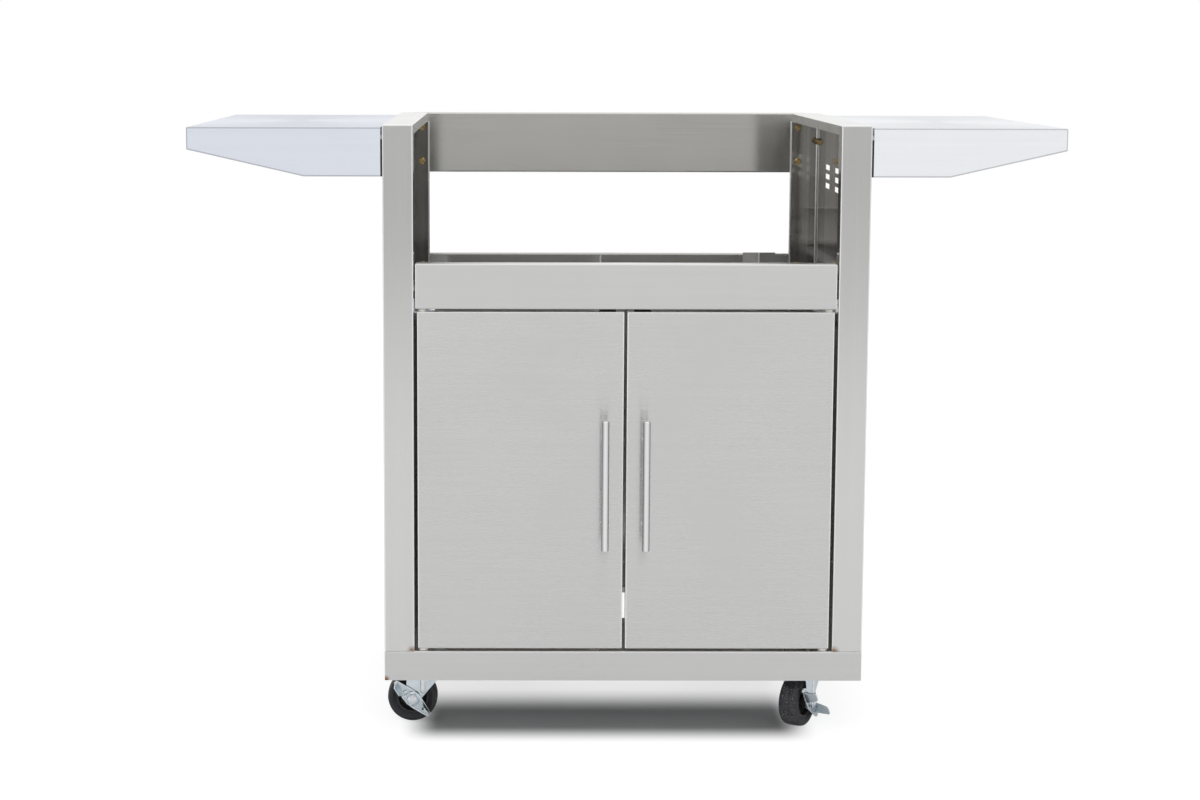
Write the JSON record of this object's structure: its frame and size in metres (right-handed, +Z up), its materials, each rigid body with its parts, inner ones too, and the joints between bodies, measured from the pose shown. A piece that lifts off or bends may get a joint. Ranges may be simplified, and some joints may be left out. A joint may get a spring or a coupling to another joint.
{
  "type": "pizza oven cart",
  "caption": "Stainless steel cart with an open bay for a drop-in pizza oven, a cabinet with swing doors, fold-down side shelves and swivel casters with brakes.",
  "frame": {"origin": "on the floor, under the middle of the whole cart", "axes": "+X to the right of someone facing the doors, +Y from the doors to the back, +Z up"},
  "size_m": [1.287, 0.658, 0.914],
  "materials": {
    "panel_steel": "vertical brushed stainless sheet",
    "door_steel": "brushed stainless sheet",
    "shelf_steel": "bright brushed stainless sheet",
    "handle_steel": "satin stainless bar",
    "zinc_steel": "bright zinc plated pressing",
    "bolt_steel": "yellow zinc plated fastener",
    "black_rubber": "worn black rubber",
    "black_plastic": "moulded black plastic",
    "white_nylon": "natural nylon"
  },
  "bodies": {
    "cart": {"left_side_panel": "panel_steel", "right_side_panel": "panel_steel", "base_pan": "panel_steel", "base_channels": "zinc_steel", "rear_panel": "panel_steel", "rear_top_beam": "panel_steel", "hose_bracket": "panel_steel", "front_apron": "panel_steel", "left_oven_rail": "zinc_steel", "right_oven_rail": "zinc_steel", "frame_bolts": "bolt_steel", "door_catches": "black_plastic", "hinge_pins": "handle_steel", "left_shelf_brackets": "zinc_steel", "right_shelf_brackets": "zinc_steel", "shelf_bracket_bolts": "bolt_steel", "caster_bolts": "bolt_steel", "front_left_caster_plate": "zinc_steel", "front_right_caster_plate": "zinc_steel", "rear_left_caster_plate": "zinc_steel", "rear_right_caster_plate": "zinc_steel"},
    "left_door": {"left_door_skin": "door_steel", "left_door_liner": "door_steel", "left_handle_bar": "handle_steel", "left_handle_posts": "handle_steel", "left_handle_screws": "bolt_steel", "left_hinge_bushes": "white_nylon", "left_strike_plate": "zinc_steel"},
    "left_shelf": {"left_shelf_leaf": "shelf_steel", "left_shelf_stiffener": "zinc_steel", "left_shelf_pivots": "handle_steel"},
    "right_door": {"right_door_skin": "door_steel", "right_door_liner": "door_steel", "right_handle_bar": "handle_steel", "right_handle_posts": "handle_steel", "right_handle_screws": "bolt_steel", "right_hinge_bushes": "white_nylon", "right_strike_plate": "zinc_steel"},
    "right_shelf": {"right_shelf_leaf": "shelf_steel", "right_shelf_stiffener": "zinc_steel", "right_shelf_pivots": "handle_steel"},
    "front_left_swivel": {"front_left_fork": "zinc_steel", "front_left_axle": "bolt_steel"},
    "front_left_wheel": {"front_left_tyre": "black_rubber", "front_left_hub": "black_plastic"},
    "front_left_brake": {"front_left_brake_lever": "zinc_steel"},
    "front_right_swivel": {"front_right_fork": "zinc_steel", "front_right_axle": "bolt_steel"},
    "front_right_wheel": {"front_right_tyre": "black_rubber", "front_right_hub": "black_plastic"},
    "front_right_brake": {"front_right_brake_lever": "zinc_steel"},
    "rear_left_swivel": {"rear_left_fork": "zinc_steel", "rear_left_axle": "bolt_steel"},
    "rear_left_wheel": {"rear_left_tyre": "black_rubber", "rear_left_hub": "black_plastic"},
    "rear_right_swivel": {"rear_right_fork": "zinc_steel", "rear_right_axle": "bolt_steel"},
    "rear_right_wheel": {"rear_right_tyre": "black_rubber", "rear_right_hub": "black_plastic"}
  },
  "joints": [
    {"name": "left_door_hinge", "type": "hinge", "parent": "cart", "child": "left_door", "pos_m": [-0.2998, -0.278, 0.385], "axis": [0, 0, -1], "range_deg": [0, 100]},
    {"name": "right_door_hinge", "type": "hinge", "parent": "cart", "child": "right_door", "pos_m": [0.2998, -0.278, 0.385], "axis": [0, 0, 1], "range_deg": [0, 100]},
    {"name": "left_shelf_fold", "type": "hinge", "parent": "cart", "child": "left_shelf", "pos_m": [-0.379, 0.013, 0.8465], "axis": [0, -1, 0], "range_deg": [0, 90]},
    {"name": "right_shelf_fold", "type": "hinge", "parent": "cart", "child": "right_shelf", "pos_m": [0.379, 0.013, 0.8465], "axis": [0, 1, 0], "range_deg": [0, 90]},
    {"name": "front_left_caster_swivel", "type": "hinge", "parent": "cart", "child": "front_left_swivel", "pos_m": [-0.286, -0.211, 0.09], "axis": [0, 0, 1], "continuous": true},
    {"name": "front_left_wheel_spin", "type": "hinge", "parent": "front_left_swivel", "child": "front_left_wheel", "pos_m": [-0.319, -0.211, 0.0381], "axis": [0, -1, 0], "continuous": true},
    {"name": "front_left_brake_rock", "type": "hinge", "parent": "front_left_swivel", "child": "front_left_brake", "pos_m": [-0.319, -0.211, 0.0381], "axis": [0, -1, 0], "range_deg": [0, 30]},
    {"name": "front_right_caster_swivel", "type": "hinge", "parent": "cart", "child": "front_right_swivel", "pos_m": [0.286, -0.211, 0.09], "axis": [0, 0, 1], "continuous": true},
    {"name": "front_right_wheel_spin", "type": "hinge", "parent": "front_right_swivel", "child": "front_right_wheel", "pos_m": [0.26851, -0.23899, 0.0381], "axis": [0.848, -0.5299, 0], "continuous": true},
    {"name": "front_right_brake_rock", "type": "hinge", "parent": "front_right_swivel", "child": "front_right_brake", "pos_m": [0.26851, -0.23899, 0.0381], "axis": [0.848, -0.5299, 0], "range_deg": [0, 30]},
    {"name": "rear_left_caster_swivel", "type": "hinge", "parent": "cart", "child": "rear_left_swivel", "pos_m": [-0.286, 0.253, 0.09], "axis": [0, 0, 1], "continuous": true},
    {"name": "rear_left_wheel_spin", "type": "hinge", "parent": "rear_left_swivel", "child": "rear_left_wheel", "pos_m": [-0.286, 0.286, 0.0381], "axis": [-1, 0, 0], "continuous": true},
    {"name": "rear_right_caster_swivel", "type": "hinge", "parent": "cart", "child": "rear_right_swivel", "pos_m": [0.286, 0.253, 0.09], "axis": [0, 0, 1], "continuous": true},
    {"name": "rear_right_wheel_spin", "type": "hinge", "parent": "rear_right_swivel", "child": "rear_right_wheel", "pos_m": [0.286, 0.286, 0.0381], "axis": [-1, 0, 0], "continuous": true}
  ]
}
